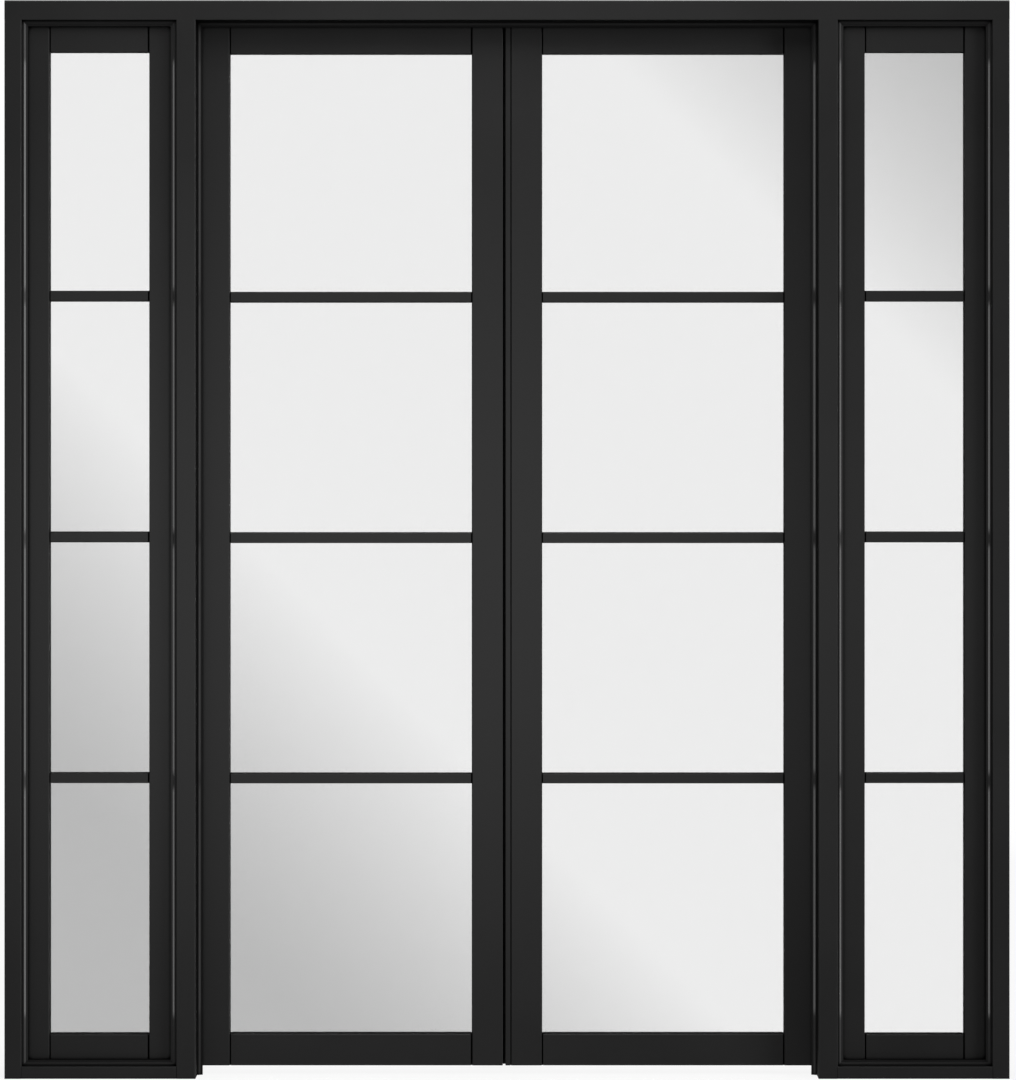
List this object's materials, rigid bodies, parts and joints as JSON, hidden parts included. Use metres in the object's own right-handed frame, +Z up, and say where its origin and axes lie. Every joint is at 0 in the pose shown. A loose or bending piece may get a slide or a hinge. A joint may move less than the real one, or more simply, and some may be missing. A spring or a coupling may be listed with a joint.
{
  "type": "glazed double-door screen with sidelights",
  "caption": "Black framed interior screen: a pair of glazed doors with horizontal bars, hinged to open away through a rebated meeting, between narrow fixed glazed sidelights.",
  "frame": {"origin": "on the left jamb's wall face, at floor level, in the middle of the frame's depth", "axes": "+X to the right seen from the front, +Y to the back, the way the doors open, +Z up"},
  "size_m": [1.9, 0.107, 2.039],
  "materials": {
    "black_painted_timber": "satin black paint",
    "clear_glass": "polished, clear, toughened",
    "hinge_steel": "satin black"
  },
  "bodies": {
    "frame": {"head": "black_painted_timber", "head_door_stop": "black_painted_timber", "left_jamb": "black_painted_timber", "left_mullion": "black_painted_timber", "left_sill": "black_painted_timber", "left_door_stop": "black_painted_timber", "left_sidelight_upright_beads": "black_painted_timber", "left_sidelight_cross_beads": "black_painted_timber", "left_sidelight_outer_stile": "black_painted_timber", "left_sidelight_inner_stile": "black_painted_timber", "left_sidelight_top_rail": "black_painted_timber", "left_sidelight_bottom_rail": "black_painted_timber", "left_sidelight_glazing_bars": "black_painted_timber", "left_sidelight_panes": "clear_glass", "left_frame_hinge_flaps": "hinge_steel", "right_jamb": "black_painted_timber", "right_mullion": "black_painted_timber", "right_sill": "black_painted_timber", "right_door_stop": "black_painted_timber", "right_sidelight_upright_beads": "black_painted_timber", "right_sidelight_cross_beads": "black_painted_timber", "right_sidelight_outer_stile": "black_painted_timber", "right_sidelight_inner_stile": "black_painted_timber", "right_sidelight_top_rail": "black_painted_timber", "right_sidelight_bottom_rail": "black_painted_timber", "right_sidelight_glazing_bars": "black_painted_timber", "right_sidelight_panes": "clear_glass", "right_frame_hinge_flaps": "hinge_steel"},
    "left_leaf": {"left_leaf_hinge_stile": "black_painted_timber", "left_leaf_meeting_stile": "black_painted_timber", "left_leaf_top_rail": "black_painted_timber", "left_leaf_bottom_rail": "black_painted_timber", "left_leaf_glazing_bars": "black_painted_timber", "left_leaf_panes": "clear_glass", "left_leaf_meeting_strip": "black_painted_timber", "left_leaf_hinge_flaps": "hinge_steel"},
    "right_leaf": {"right_leaf_hinge_stile": "black_painted_timber", "right_leaf_meeting_stile": "black_painted_timber", "right_leaf_top_rail": "black_painted_timber", "right_leaf_bottom_rail": "black_painted_timber", "right_leaf_glazing_bars": "black_painted_timber", "right_leaf_panes": "clear_glass", "right_leaf_meeting_strip": "black_painted_timber", "right_leaf_hinge_flaps": "hinge_steel"}
  },
  "joints": [
    {"name": "left_leaf_hinge", "type": "hinge", "parent": "frame", "child": "left_leaf", "pos_m": [0.3635, 0.0535, 1], "axis": [0, 0, 1], "range_deg": [0, 170]},
    {"name": "right_leaf_hinge", "type": "hinge", "parent": "frame", "child": "right_leaf", "pos_m": [1.5365, 0.0535, 1], "axis": [0, 0, -1], "range_deg": [0, 170]}
  ]
}
